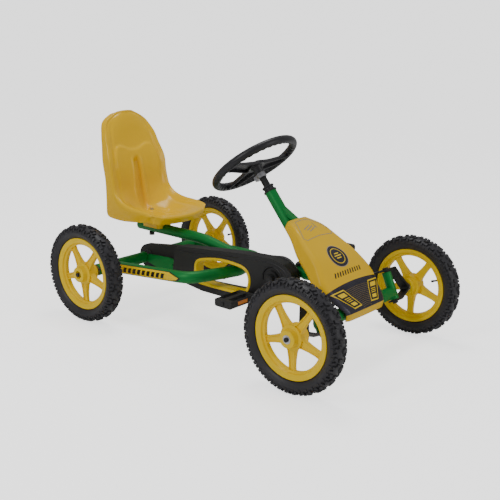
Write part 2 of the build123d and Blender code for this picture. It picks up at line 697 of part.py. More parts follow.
for name, side in SIDES.items():
    with BuildPart() as knuckle:
        with BuildSketch(bracket_plane(side)):
            with BuildLine():
                Polyline(*BRACKET, close=True)
            make_face()
        extrude(amount=16, both=True)
        # steering arm, back and in from the top lip
        with BuildSketch(king_plane(side, LIP - 0.5)):
            with BuildLine():
                Polyline((14, side * 14), (14, -side * 14), (-30, side * (ARM[1] - 13)),
                         (-52, side * (ARM[1] - 8)), (-52, side * (ARM[1] + 8)),
                         (-20, side * 14), close=True)
            make_face()
        extrude(amount=PLATE)
        with BuildSketch(across(AXLE_X, side * (KING_Y + 68), WHEEL_R, side)):
            Circle(9)
        extrude(amount=TRACK_HALF - HUB_HALF - KING_Y - 68 - 0.5)
        with BuildSketch(across(AXLE_X, side * (KING_Y + 70), WHEEL_R, side)):
            Circle(STUB_R)
        extrude(amount=AXLE_END - KING_Y - 70)
        with BuildSketch(king_plane(side, KING_BOTTOM - 20)):
            Circle(STUB_R)
        extrude(amount=125, mode=Mode.SUBTRACT)
        with BuildSketch(king_plane(side, LIP - 10)):
            with Locations((ARM[0], side * ARM[1])):
                Circle(4)
        extrude(amount=20, mode=Mode.SUBTRACT)
    save(knuckle.part, f"knuckle_{name}")

    with BuildPart() as kingpin:
        with BuildSketch(king_plane(side, -32)):
            Circle(STUB_R)
        extrude(amount=32 + LIP + PLATE)
        with BuildSketch(king_plane(side, LIP + PLATE - 0.5)):
            Circle(9)
        extrude(amount=5)
        with BuildSketch(king_plane(side, -32)):
            RegularPolygon(9, 6)
        extrude(amount=6)
    save(kingpin.part, f"kingpin_{name}")

    with BuildPart() as wheel_nut:
        with BuildSketch(across(AXLE_X, side * AXLE_END, WHEEL_R, side)):
            Circle(6.5)
        extrude(amount=4)
    save(wheel_nut.part, f"wheel_nut_{name}")

# ---- steering wheel, column, lever and tie rods -------------------------
with BuildPart() as steering_wheel:
    with BuildSketch(Plane(origin=RING_CENTRE, x_dir=(0, 1, 0),
                           z_dir=(cos(rad(COLUMN_TILT)), 0, sin(rad(COLUMN_TILT))))):
        with Locations((WHEEL_RING_R, 0)):
            Circle(GRIP_R)
    revolve(axis=Axis(RING_CENTRE, COLUMN_UP))
    with BuildSketch(column_plane(-9)):
        Circle(30)
        for angle in SPOKE_ANGLES:
            with Locations(Location((0, 0), angle)):
                Polygon((15, 22), (WHEEL_RING_R - 8, 17), (WHEEL_RING_R - 8, -17), (15, -22),
                        align=None)
    extrude(amount=9)
    with BuildSketch(column_plane(-34)):
        Circle(15)
    extrude(amount=26)
    with BuildSketch(column_plane(-40)):
        Circle(COLUMN_R)
    extrude(amount=30, mode=Mode.SUBTRACT)
save(steering_wheel.part, "steering_wheel")

with BuildPart() as wheel_cap:
    with BuildSketch(column_plane(0)):
        Circle(27)
    extrude(amount=7)
    chamfer(wheel_cap.faces().sort_by(Axis(RING_CENTRE, COLUMN_UP))[-1].edges(), 2.5)
save(wheel_cap.part, "wheel_cap")

COLUMN_END = HEAD_BOTTOM - 16
with BuildPart() as steering_column:
    with BuildSketch(column_plane(COLUMN_END)):
        Circle(COLUMN_R)
    extrude(amount=-COLUMN_END - 10)
save(steering_column.part, "steering_column")

with BuildPart() as column_clamp:
    with BuildSketch(column_plane(-50)):
        Circle(14.5)
        with Locations((0, 18)):
            Rectangle(16, 14)
        Circle(COLUMN_R, mode=Mode.SUBTRACT)
    extrude(amount=15)
save(column_clamp.part, "column_clamp")

LEVER = 43.0
with BuildPart() as steering_lever:
    with BuildSketch(column_plane(HEAD_BOTTOM - 9)):
        with BuildLine():
            Polyline((-17, -15), (17, -15), (22, LEVER + 9), (-22, LEVER + 9), close=True)
        make_face()
        Circle(COLUMN_R, mode=Mode.SUBTRACT)
        with Locations((12, LEVER), (-12, LEVER)):
            Circle(4, mode=Mode.SUBTRACT)
    extrude(amount=PLATE)
save(steering_lever.part, "steering_lever")

for name, side in SIDES.items():
    outer_plane = king_plane(side, LIP - 0.5)
    outer = outer_plane.from_local_coords(Vector(ARM[0], side * ARM[1], -14))
    lever_plane = column_plane(HEAD_BOTTOM - 9)
    inner = lever_plane.from_local_coords(Vector(side * 12, LEVER, -14))
    along = (inner - outer).normalized()
    length = (inner - outer).length
    with BuildPart() as tie_rod:
        with BuildSketch(Plane(origin=outer, z_dir=along)):
            Circle(4)
        extrude(amount=length)
        with BuildSketch(king_plane(side, LIP - 0.5 - 20)):
            with Locations((ARM[0], side * ARM[1])):
                Circle(8)
        extrude(amount=12)
        with BuildSketch(king_plane(side, LIP - 0.5 - 20)):
            with Locations((ARM[0], side * ARM[1])):
                Circle(3.95)
        extrude(amount=30)
        with BuildSketch(Plane(origin=inner, x_dir=(0, 1, 0), z_dir=COLUMN_UP)):
            Circle(8)
        extrude(amount=5, both=True)
    save(tie_rod.part, f"tie_rod_{name}")

# ---- seat ---------------------------------------------------------------
# stations down the back and along the pan: X, Z, lean of the surface normal above
# forward, half width and how far the sides come forward
SEAT = [
    (-552.0, 640.0, 2.0, 52.0, 2.0),
    (-547.0, 618.0, 8.0, 84.0, 4.0),
    (-531.0, 566.0, 14.0, 113.0, 8.0),
    (-509.0, 482.0, 15.0, 128.0, 14.0),
    (-487.0, 390.0, 20.0, 129.0, 20.0),
    (-463.0, 338.0, 48.0, 131.0, 28.0),
    (-428.0, 314.0, 74.0, 132.0, 30.0),
    (-380.0, 311.0, 88.0, 133.0, 30.0),
    (-330.0, 316.0, 94.0, 133.0, 22.0),
    (-282.0, 323.0, 100.0, 126.0, 6.0),
]
SEAT_SKIN = 5.0


def seat_plane(x, z, lean):
    """Section plane across the seat: local x is +Y, local y points at the driver."""
    normal = (cos(rad(lean)), 0, sin(rad(lean)))
    return Plane(origin=(x, 0, z), x_dir=(0, 1, 0), z_dir=(normal[2], 0, -normal[0]))


with BuildPart() as seat_shell:
    for x, z, lean, half, rise in SEAT:
        with BuildSketch(seat_plane(x, z, lean)):
            with BuildLine():
                back = ThreePointArc((-half, rise), (0, -SEAT_SKIN), (half, rise))
                face = ThreePointArc((half - 4, rise + 3), (0, 0), (-half + 4, rise + 3))
                Line(back @ 1, face @ 0)
                Line(face @ 1, back @ 0)
            make_face()
    loft()
save(seat_shell.part, "seat_shell")

with BuildPart() as seat_bracket:
    with BuildSketch(Plane.XY.offset(262)):
        with Locations((-405, 0)):
            RectangleRounded(84, 62, 12)
    extrude(amount=47)
    with BuildSketch(Plane(origin=(-460, 0, TUBE_Z_REAR), x_dir=(0, 1, 0), z_dir=(1, 0, 0))):
        Circle(TUBE_R + 0.3)
    extrude(amount=110, mode=Mode.SUBTRACT)
    add(seat_shell.part, mode=Mode.SUBTRACT)
save(seat_bracket.part, "seat_bracket")

with BuildPart() as seat_bolts:
    for bx, bz in ((-430, 314.5), (-384, 309.5)):
        with BuildSketch(Plane.XY.offset(bz)):
            with Locations((bx, 0)):
                Circle(7)
        extrude(amount=5.5)
    add(seat_shell.part, mode=Mode.SUBTRACT)
save(seat_bolts.part, "seat_bolts")

with BuildPart() as seat_knob:
    with BuildSketch(Plane.XY.offset(TUBE_Z_REAR - TUBE_R - 12)):
        with Locations((-431, 0)):
            Circle(9)
    extrude(amount=11)
save(seat_knob.part, "seat_knob")
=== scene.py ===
import json
import math

import bmesh
import bpy
import numpy as np
from mathutils import Matrix, Vector

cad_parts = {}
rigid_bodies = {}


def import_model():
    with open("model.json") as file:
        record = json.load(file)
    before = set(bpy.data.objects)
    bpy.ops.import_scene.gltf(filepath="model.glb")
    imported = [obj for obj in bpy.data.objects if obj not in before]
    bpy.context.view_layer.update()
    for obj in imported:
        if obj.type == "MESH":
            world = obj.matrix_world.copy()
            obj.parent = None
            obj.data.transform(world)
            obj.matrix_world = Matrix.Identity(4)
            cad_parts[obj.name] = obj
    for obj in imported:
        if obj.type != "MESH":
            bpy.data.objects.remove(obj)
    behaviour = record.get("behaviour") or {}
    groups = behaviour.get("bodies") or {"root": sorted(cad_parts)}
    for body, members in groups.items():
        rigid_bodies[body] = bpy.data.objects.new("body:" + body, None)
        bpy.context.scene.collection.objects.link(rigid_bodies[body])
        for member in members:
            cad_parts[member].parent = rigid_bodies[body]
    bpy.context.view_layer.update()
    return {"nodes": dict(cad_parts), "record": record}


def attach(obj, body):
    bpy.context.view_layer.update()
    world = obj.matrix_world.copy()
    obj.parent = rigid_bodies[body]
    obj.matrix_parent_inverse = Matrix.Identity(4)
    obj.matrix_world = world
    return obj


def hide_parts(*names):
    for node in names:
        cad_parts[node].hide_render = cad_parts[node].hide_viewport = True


for leftover in list(bpy.data.objects):
    bpy.data.objects.remove(leftover)
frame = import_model()
NODES = frame["nodes"]
MM = 0.001

# ---- places taken over from the CAD source (millimetres) -----------------
WHEEL_R = 159.0
AXLE_X = 417.5
TRACK_HALF = 306.0
CRANK = (158.0, 207.0)
RING_CENTRE = np.array((23.0, 0.0, 529.0))
RING_R, GRIP_R = 132.0, 13.0
TILT = math.radians(39.5)              # lean of the steering column
HEAD_TOP_Z = 451.0                     # top of the head tube
GUARD_FACE, REAR_GUARD_FACE = -70.0, -31.0
CORNERS = {                            # axle X, side, body that carries the wheel
    "front_left": (AXLE_X, 1, "front_wheel_left"), "front_right": (AXLE_X, -1, "front_wheel_right"),
    "rear_left": (-AXLE_X, 1, "rear_wheel_left"), "rear_right": (-AXLE_X, -1, "rear_axle"),
}
RNG = np.random.default_rng(7)


# ---- materials -----------------------------------------------------------
CORNER_SHADE_REACH = 0.012                     # how far from a corner the painted shade spreads, in metres
GLOSSIER, DULLER = 0.82, 1.18          # the roughness drifts between these shares


def shader(name, colour, rough, metallic=0.0, coat=0.0, coat_rough=0.1, spec=0.5, vary=0.08,
           vary_scale=18.0, grain=350.0, bump=0.05, bump_scale=600.0, distance=0.0002, corner_shade=0.0,
           stretch=(1, 1, 1)):
    """Surface with colour drift, uneven gloss, fine relief and painted shade darkening the corners.
    """
    m = bpy.data.materials.new(name)
    m.use_nodes = True
    t = m.node_tree
    b = t.nodes["Principled BSDF"]
    b.inputs["Metallic"].default_value = metallic
    b.inputs["Coat Weight"].default_value = coat
    b.inputs["Coat Roughness"].default_value = coat_rough
    b.inputs["Specular IOR Level"].default_value = spec
    co = t.nodes.new("ShaderNodeTexCoord")
    mp = t.nodes.new("ShaderNodeMapping")
    mp.inputs["Scale"].default_value = stretch
    t.links.new(co.outputs["Object"], mp.inputs["Vector"])

    def noise(scale, detail=4.0, rough_n=0.55):
        n = t.nodes.new("ShaderNodeTexNoise")
        n.inputs["Scale"].default_value = scale
        n.inputs["Detail"].default_value = detail
        n.inputs["Roughness"].default_value = rough_n
        t.links.new(mp.outputs["Vector"], n.inputs["Vector"])
        return n

    def spread(source, low, high, start=0.3, end=0.7):
        r = t.nodes.new("ShaderNodeMapRange")
        r.inputs["From Min"].default_value = start
        r.inputs["From Max"].default_value = end
        r.inputs["To Min"].default_value = low
        r.inputs["To Max"].default_value = high
        t.links.new(source, r.inputs["Value"])
        return r

    drift = noise(vary_scale)
    ramp = t.nodes.new("ShaderNodeValToRGB")
    dark = tuple(c * (1 - vary) for c in colour)
    light = tuple(min(1.0, c * (1 + vary)) for c in colour)
    ramp.color_ramp.elements[0].position = 0.32
    ramp.color_ramp.elements[1].position = 0.68
    ramp.color_ramp.elements[0].color = (*dark, 1)
    ramp.color_ramp.elements[1].color = (*light, 1)
    t.links.new(drift.outputs["Fac"], ramp.inputs["Fac"])
    base = ramp.outputs["Color"]
    # painted shade: an ambient occlusion node darkens the base colour in corners, creases and
    # between parts
    if corner_shade:
        ao = t.nodes.new("ShaderNodeAmbientOcclusion")
        ao.inputs["Distance"].default_value = CORNER_SHADE_REACH
        ao.samples = 8
        shade = spread(ao.outputs["AO"], 1 - corner_shade, 1.0, 0.2, 0.9)
        mul = t.nodes.new("ShaderNodeMix")
        mul.data_type = "RGBA"
        mul.blend_type = "MULTIPLY"
        mul.inputs["Factor"].default_value = 1.0
        t.links.new(base, mul.inputs["A"])
        t.links.new(shade.outputs["Result"], mul.inputs["B"])
        base = mul.outputs["Result"]
    t.links.new(base, b.inputs["Base Color"])
    gloss = noise(grain, 3.0)
    uneven = spread(gloss.outputs["Fac"], rough * GLOSSIER, min(1.0, rough * DULLER))
    t.links.new(uneven.outputs["Result"], b.inputs["Roughness"])
    relief = noise(bump_scale, 5.0, 0.6)
    height = t.nodes.new("ShaderNodeBump")
    height.inputs["Strength"].default_value = bump
    height.inputs["Distance"].default_value = distance
    t.links.new(relief.outputs["Fac"], height.inputs["Height"])
    t.links.new(height.outputs["Normal"], b.inputs["Normal"])
    return m


def srgb(r, g, b):
    """Linear colour from 0-255 display values."""
    return tuple((c / 255 / 12.92) if c <= 10 else (((c / 255) + 0.055) / 1.055) ** 2.4
                 for c in (r, g, b))


# on the materials below, the share given for darkening corners is painted shade
RUBBER = shader("rubber", (0.023, 0.022, 0.027), 0.46, vary=0.16, vary_scale=26, bump=0.35,
                bump_scale=900, distance=0.0004, corner_shade=0.75, spec=0.5)
RIM = shader("rim_plastic", (1.0, 0.66, 0.0), 0.34, vary=0.03, bump=0.05, bump_scale=260,
             distance=0.0003, spec=0.35, corner_shade=0.12)
SEAT = shader("seat_plastic", (0.93, 0.555, 0.0), 0.24, vary=0.025, vary_scale=9, bump=0.10,
              bump_scale=420, distance=0.0002, spec=0.4)
# fairing yellow is set darker than the rim's to offset the top light falling on it: painted shade
FAIR = shader("fairing_plastic", (0.86, 0.52, 0.0), 0.34, vary=0.02, vary_scale=8, bump=0.05,
              bump_scale=380, distance=0.0002, spec=0.35)
GREEN = shader("green_paint", (0.0, 0.26, 0.025), 0.18, coat=1.0, coat_rough=0.04, vary=0.06,
               vary_scale=14, bump=0.06, bump_scale=220, distance=0.0003, corner_shade=0.25)
BLACK = shader("black_plastic", (0.014, 0.014, 0.016), 0.44, vary=0.12, vary_scale=22, bump=0.30,
               bump_scale=1400, distance=0.0003, corner_shade=0.3)
GRIP = shader("grip_plastic", (0.011, 0.011, 0.014), 0.40, vary=0.12, vary_scale=30, bump=0.22,
              bump_scale=1200, distance=0.0003, corner_shade=0.3)
STEEL = shader("plain_steel", srgb(196, 198, 202), 0.28, metallic=1.0, vary=0.10, grain=500,
               bump=0.10, bump_scale=700, stretch=(1, 6, 1), corner_shade=0.35)
CHROME = shader("bearing_steel", srgb(214, 214, 216), 0.18, metallic=1.0, vary=0.06,
                bump=0.05, bump_scale=500, corner_shade=0.3)
BLACK_STEEL = shader("black_steel", (0.009, 0.009, 0.011), 0.34, coat=0.35, coat_rough=0.12,
                     vary=0.15, vary_scale=30, bump=0.14, bump_scale=420, corner_shade=0.3)
BUSH = shader("bush_plastic", srgb(210, 206, 196), 0.5, vary=0.05, bump=0.1)
AMBER = shader("reflector", srgb(255, 96, 10), 0.12, coat=0.8, coat_rough=0.04, vary=0.05,
               bump=0.5, bump_scale=520, distance=0.0006, spec=0.7)
GRAPHITE = shader("graphite_film", srgb(58, 56, 66), 0.30, metallic=0.55, vary=0.22,
                  vary_scale=10, stretch=(1, 2.5, 9), bump=0.08, bump_scale=900)
INK = shader("ink_black", srgb(22, 22, 24), 0.35, vary=0.1, bump=0.03)
DECAL_YELLOW = shader("decal_yellow", (1.0, 0.66, 0.0), 0.28, vary=0.03, bump=0.03)
GOLD = shader("decal_gold", srgb(168, 140, 74), 0.30, metallic=0.6, vary=0.08, bump=0.03)
SILVER = shader("decal_silver", srgb(172, 170, 172), 0.30, metallic=0.7, vary=0.08, bump=0.03)
SLOT_MATERIAL = {
    "tyre_rubber": RUBBER, "rim_yellow": RIM, "bearing_steel": CHROME, "green_paint": GREEN,
    "seat_yellow": SEAT, "fairing_yellow": FAIR, "black_plastic": BLACK, "grip_black": GRIP,
    "reflector_orange": AMBER, "bush_plastic": BUSH, "plain_steel": STEEL,
    "black_steel": BLACK_STEEL,
}


# ---- mesh helpers --------------------------------------------------------
def piece(name, verts, faces, body, material, replaces=(), smooth=40, mats=None):
    """Mesh object from points in millimetres, riding on a CAD body."""
    me = bpy.data.meshes.new(name)
    me.from_pydata([tuple(float(c) * MM for c in v) for v in verts], [], faces)
    bm = bmesh.new()
    bm.from_mesh(me)
    bmesh.ops.remove_doubles(bm, verts=bm.verts, dist=2e-6)
    bmesh.ops.recalc_face_normals(bm, faces=bm.faces)
    bm.to_mesh(me)
    bm.free()
    ob = bpy.data.objects.new(name, me)
    bpy.context.scene.collection.objects.link(ob)
    me.materials.append(material)
    for extra in mats or ():
        me.materials.append(extra)
    soften(ob, smooth)
    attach(ob, body)
    if replaces:
        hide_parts(*replaces)
    return ob


def soften(ob, angle):
    """Smooth shading with edges sharper than the angle kept crisp."""
    me = ob.data
    bm = bmesh.new()
    bm.from_mesh(me)
    limit = math.radians(angle)
    for f in bm.faces:
        f.smooth = True
    for e in bm.edges:
        e.smooth = not (len(e.link_faces) == 2 and e.calc_face_angle(0) > limit)
    bm.to_mesh(me)
    bm.free()


def paint(ob, material):
    """Give an object one material in place of those it has."""
    ob.data.materials.clear()
    ob.data.materials.append(material)


def modifier(ob, kind, **values):
    m = ob.modifiers.new(kind.lower(), kind)
    for key, value in values.items():
        setattr(m, key, value)


def round_edges(ob, width, angle, **values):
    """Small bevel on the edges sharper than the angle."""
    modifier(ob, "BEVEL", width=width, segments=2, limit_method="ANGLE",
             angle_limit=math.radians(angle), **values)


def grid_faces(rows, cols, wrap_rows=False, wrap_cols=False):
    """Faces of a grid of points listed row by row; either way may close on itself."""
    faces = []
    for i in range(rows if wrap_rows else rows - 1):
        for j in range(cols if wrap_cols else cols - 1):
            ahead, beside = (i + 1) % rows, (j + 1) % cols
            faces.append((i * cols + j, i * cols + beside, ahead * cols + beside, ahead * cols + j))
    return faces


def lathe(profile, steps):
    """Ring of a closed (across, radius) outline about the Y axis through the origin."""
    verts = []
    for k in range(steps):
        a = 2 * math.pi * k / steps
        verts += [(r * math.cos(a), y, r * math.sin(a)) for y, r in profile]
    return verts, grid_faces(steps, len(profile), True, True)


def joined(parts):
    """One vertex and face list out of several."""
    verts, faces = [], []
    for v, f in parts:
        faces += [tuple(i + len(verts) for i in face) for face in f]
        verts += [tuple(p) for p in v]
    return verts, faces


def turned(angle):
    """Unit vectors outward and along the turn, in the plane of a wheel."""
    c, s = math.cos(angle), math.sin(angle)
    return np.array((c, 0, s)), np.array((-s, 0, c))


def neighbours(v):
    """Sum of each row's two neighbours in a closed loop."""
    return np.roll(v, 1, axis=0) + np.roll(v, -1, axis=0)


def unit_rows(v):
    """The same vectors with length 1."""
    return v / np.linalg.norm(v, axis=1)[:, None]


def smooth_path(points, samples):
    """Catmull-Rom curve through rows of numbers, evenly stepped along each span."""
    p = np.array(points, float)
    p = np.vstack([2 * p[0] - p[1], p, 2 * p[-1] - p[-2]])
    out = []
    for i in range(1, len(p) - 2):
        for k in range(samples):
            t = k / samples
            out.append(0.5 * (2 * p[i] + (p[i + 1] - p[i - 1]) * t
                              + (2 * p[i - 1] - 5 * p[i] + 4 * p[i + 1] - p[i + 2]) * t * t
                              + (3 * p[i] - p[i - 1] - 3 * p[i + 1] + p[i + 2]) * t ** 3))
    out.append(p[-2])
    return np.array(out)


def step(x, low, high):
    """Smooth rise from 0 at low to 1 at high."""
    t = np.clip((x - low) / (high - low), 0, 1)
    return t * t * (3 - 2 * t)


# ---- carried-over CAD nodes ----------------------------------------------
for spec in frame["record"]["materials"]:
    for name in spec.get("nodes", []):
        if name in NODES:
            paint(NODES[name], SLOT_MATERIAL[spec["slot"]])
paint(NODES["crank_axle"], BLACK_STEEL)
for name, ob in NODES.items():
    soften(ob, 32)
    round_edges(ob, 0.0006, 40, harden_normals=False)


# ---- tyres ---------------------------------------------------------------
CROWN = 16.8                           # rise of the carcass above its widest point
WIDEST_R, HALF_WIDTH = 137, 26.6       # radius and half width at that point
SQUARE = 0.9                           # below 1 the crown is squarer than an ellipse
ARC_R = 22.5                           # mm along the crown for each radian
ARC_END = 1.62                         # radians at which the outer knobs stop
KNOB_R = 155.0                         # radius at which a knob's length is measured


def tyre_profile():
    """Outline of the carcass: crown, shoulders, ribbed side walls and beads."""
    half = []
    for k in range(15):
        a = math.radians(90 * k / 14)
        half.append((HALF_WIDTH * math.sin(a) ** SQUARE, WIDEST_R + CROWN * math.cos(a)))
    half += [(27.2, 134.5), (26.6, 131.5), (25.6, 130.3), (25.0, 128.0), (23.2, 125.4),
             (22.6, 124.0), (20.0, 121.2), (18.6, 119.4), (17.0, 118.2), (14.2, 117.4), (13.8, 104)]
    inner = [(9, 104), (9, 119), (17, 124), (22, 133), (20, 144), (11, 150)]
    right = half + inner
    left = [(-y, r) for y, r in reversed(right)][:-1]
    return right + left


def crown_point(s, h):
    """Point above the carcass at arc position s (mm from the centre line), height h."""
    a = max(-ARC_END, min(ARC_END, s / ARC_R))
    y = HALF_WIDTH * math.copysign(abs(math.sin(a)) ** SQUARE, a)
    r = WIDEST_R + CROWN * math.cos(a)
    n = np.array((math.sin(a) / 27.0, math.cos(a) / CROWN))
    n /= np.linalg.norm(n)
    return y + n[0] * h, r + n[1] * h


def knob(theta, s, length, width, height, skew):
    """Tread block: four-sided, narrower at the top, with the top split by a shallow cut."""
    verts = []
    for level, scale in ((-1.5, 1.08), (height * 0.62, 0.93), (height, 0.72)):
        for u, v in ((-1, -1), (0, -1), (1, -1), (1, 1), (0, 1), (-1, 1)):
            along = u * length / 2 * scale + skew * v * width / 2
            lift = level - (0.5 if (u == 0 and level == height) else 0)
            y, r = crown_point(s + v * width / 2 * scale, lift)
            t = theta + along / KNOB_R
            verts.append((r * math.cos(t), y, r * math.sin(t)))
    faces = []
    for ring in range(2):
        for i in range(6):
            j = (i + 1) % 6
            faces.append((ring * 6 + i, ring * 6 + j, (ring + 1) * 6 + j, (ring + 1) * 6 + i))
    faces += [(12, 13, 16, 17), (13, 14, 15, 16)]
    return verts, faces


def tread(count):
    """Knobs all round: two staggered rows in the middle and three on each shoulder."""
    blocks = []
    pitch = 2 * math.pi / count
    for k in range(count):
        t = k * pitch
        side = 1 if k % 2 else -1
        blocks.append(knob(t, 4.6 * side, 11.0, 10.5, 5.0, 0.35 * side))
        blocks.append(knob(t + pitch * 0.5, -8.4 * side, 8.0, 8.0, 4.8, -0.3 * side))
        for s in (1, -1):
            lag = pitch * (0.25 if s > 0 else 0.75)
            blocks.append(knob(t + lag, s * 18.4, 10.5, 9.0, 4.9, 0.25 * s))
            blocks.append(knob(t + lag + pitch * 0.5, s * 23.6, 8.0, 11.5, 4.4, -0.15 * s))
            blocks.append(knob(t + lag, s * 31.4, 10.0, 9.5, 2.2, 0.1 * s))
    return joined(blocks)


TREAD = tread(38)


def at_wheel(points, x, side):
    """Wheel-local points (Y outboard) put in place at a corner."""
    return [(x + px, side * (TRACK_HALF + py), WHEEL_R + pz) for px, py, pz in points]


# ---- wheel centres ---------------------------------------------------------
# a spoke's stations: radius, half width, outboard face and depth
SPOKE = ((31, 15.5, 11.5, 17), (40, 12.6, 10.5, 15), (60, 10.4, 8.5, 12.5), (80, 9.6, 7.0, 11),
         (92, 10.6, 6.6, 11), (98, 13.5, 6.4, 11))
SPOKE_RIB, SPOKE_CHANNEL = 2.2, 4.2    # width of the ribs beside a spoke's channel, and its depth
VALVE_ANGLE = math.radians(20)
VALVE = ((97, 4.4), (92, 4.2), (90, 3.0), (78, 2.8), (77, 3.6), (71, 3.6), (70, 2.6), (69.4, 0.6))
VALVE_SIDES = 16


def rim_parts():
    """Felloe, stepped dish, hub and five channelled spokes, Y outboard."""
    felloe = [(17.2, 113.2), (17.4, 115.4), (16.4, 116.4), (14.6, 116.2), (14.2, 112),
              (13.4, 103.5), (8, 99.5), (-8, 99.5), (-13.4, 103.5), (-14.2, 112), (-14.6, 116.2),
              (-16.4, 116.4), (-17.4, 115.4), (-17.2, 113.2), (-16.6, 106), (-15.2, 104.4),
              (-10.5, 103), (-9.4, 96.2), (-8, 94.4), (6, 92.4), (7.4, 94.6), (8.2, 97.8),
              (9.6, 98.6), (14.4, 99.6), (15.4, 101.2), (15.8, 106.4), (16.6, 107.6)]
    hub = [(31.0, 12.2), (31.0, 22.6), (29.8, 24.4), (16.5, 26.0), (14.4, 27.2), (13.8, 33.4),
           (12.6, 34.8), (-20.4, 34.8), (-21.6, 33.6), (-22, 26.2), (-30, 25), (-31, 23.6),
           (-31.0, 12.2), (-25.0, 12.2), (-25.0, 8.0), (25.0, 8.0), (25.0, 12.2)]
    parts = [lathe(felloe, 96), lathe(hub, 64)]
    for k in range(5):
        radial, across = turned(math.radians(-90 + 72 * k))
        verts = []
        for r, w, top, depth in SPOKE:
            outline = [(-w, top - depth), (-w + 0.2, top - 1.0), (-w + 1.2, top),
                       (-w + SPOKE_RIB + 1, top), (-w + SPOKE_RIB + 2, top - SPOKE_CHANNEL),
                       (w - SPOKE_RIB - 2, top - SPOKE_CHANNEL), (w - SPOKE_RIB - 1, top),
                       (w - 1.2, top), (w - 0.2, top - 1.0), (w, top - depth)]
            verts += [radial * r + across * u + np.array((0, y, 0)) for u, y in outline]
        parts.append((verts, grid_faces(len(SPOKE), 10, False, True)))
    return joined(parts)


RIM_MESH = rim_parts()
for corner, (x, side, body) in CORNERS.items():
    spin = RNG.uniform(0, 6.28)
    verts, faces = lathe(tyre_profile(), 152)
    cos_spin, sin_spin = math.cos(spin), math.sin(spin)
    block_verts = [(px * cos_spin - pz * sin_spin, py, px * sin_spin + pz * cos_spin)
                   for px, py, pz in TREAD[0]]
    all_verts, all_faces = joined([(verts, faces), (block_verts, TREAD[1])])
    piece(f"tyre_{corner}_look", at_wheel(all_verts, x, side), all_faces, body,
          RUBBER, (f"tyre_{corner}",), smooth=34)
    rim = piece(f"rim_{corner}_look", at_wheel(RIM_MESH[0], x, side), RIM_MESH[1], body,
                RIM, (f"rim_{corner}",), smooth=38)
    round_edges(rim, 0.0008, 38)
    # valve stem between two spokes, pointing from the rim to the hub
    radial, across = turned(VALVE_ANGLE)
    rings = []
    for r, w in VALVE:
        for q in range(VALVE_SIDES):
            a = q * math.pi / 8
            rings.append(radial * r + across * w * math.cos(a) + np.array((0, w * math.sin(a), 0)))
    piece(f"valve_{corner}", at_wheel(rings, x, side),
          grid_faces(len(VALVE), VALVE_SIDES, False, True), body, RUBBER, smooth=40)


# ---- seat ------------------------------------------------------------------
SEAT_LINE = [  # centre X, Z; half width; front edge of the wing X, Z; rear edge of the skirt X, Z
    (-551, 636, 32, -556, 633.5, -565, 631), (-546, 626, 60, -554, 620, -567, 619),
    (-539, 604, 87, -549, 600, -565, 600), (-531, 566, 103, -528, 564, -550, 564),
    (-522, 530, 109, -514, 530, -541, 530), (-508, 482, 118, -494, 482, -530, 482),
    (-494, 430, 117, -484, 430, -520, 430), (-484, 385, 119, -472, 385, -513, 372),
    (-474, 350, 120, -448, 362, -513, 330), (-458, 322, 121, -420, 351, -508, 304),
    (-428, 312, 122, -390, 346, -480, 298), (-390, 311, 123, -358, 344, -430, 297),
    (-345, 315, 123, -325, 341, -375, 302), (-305, 322, 121, -300, 335, -325, 308),
    (-278, 325, 113, -290, 330, -300, 309),
]
SEAT_BOLTS = (-430, -384)              # X of the two bosses in the pan
SEAT_COLS = 65
SKIRT_OUT = 10.5                       # how far the skirt stands out from the shell's edge
# rolled edge and skirt: out from the edge, up along its normal, share of the skirt's fall
SEAT_RINGS = ((3.2, 1.5, 0), (6.6, 1.2, 0), (9.2, -1.4, 0.02), (10.4, -4.5, 0.10),
              (10.6, -5, 0.35), (10.6, -3.5, 0.68), (10.6, -1, 0.96), (9.6, -0.5, 1.0))


def hump(x, centre, width):
    """Bell shape: 1 at the centre, about a third one width away."""
    return math.exp(-((x - centre) / width) ** 2)


def seat_relief(i, v, X, Z, half):
    """Height of the moulded relief over the plain shell, at row i and share v across."""
    y = half * v
    # raised back pad with an M-shaped upper edge
    edge = 514 + 17 * hump(abs(v), 0.56, 0.28) - 70 * step(abs(v), 0.72, 0.96)
    pad = step(Z, edge + 4, edge - 5) * step(Z, 380, 470) * step(abs(v), 0.92, 0.78)
    lift = 6.5 * pad * step(X, -470, -486)
    # channel down the middle of the back, rounded at its top, with raised lips
    channel = 15 + 4 * step(Z, 470, 360)
    top = 488 - 14 * (abs(y) / channel) ** 2
    lift -= (12.5 * (step(Z, top + 5, top - 12) * step(X, -438, -452)
                     * step(abs(y), channel, channel * 0.55)))
    lift += (2.6 * (math.exp(-((abs(y) - channel - 5) / 5) ** 2) * step(Z, 495, 478)
                    * step(X, -460, -480)))
    # thigh hollows and a soft centre ridge in the pan
    pan = step(X, -455, -425) * step(X, -318, -350)
    lift -= 6.5 * pan * hump(abs(v), 0.45, 0.28)
    lift += 2.5 * pan * math.exp(-(v / 0.12) ** 2)
    for bolt_x in SEAT_BOLTS:
        lift += 3.0 * math.exp(-(((X - bolt_x) ** 2 + y * y) / 130.0) ** 2)
    # crease along the inner edge of the side wings
    return lift - 2.4 * hump(abs(v), 0.84, 0.05) * step(i, 12, 26)


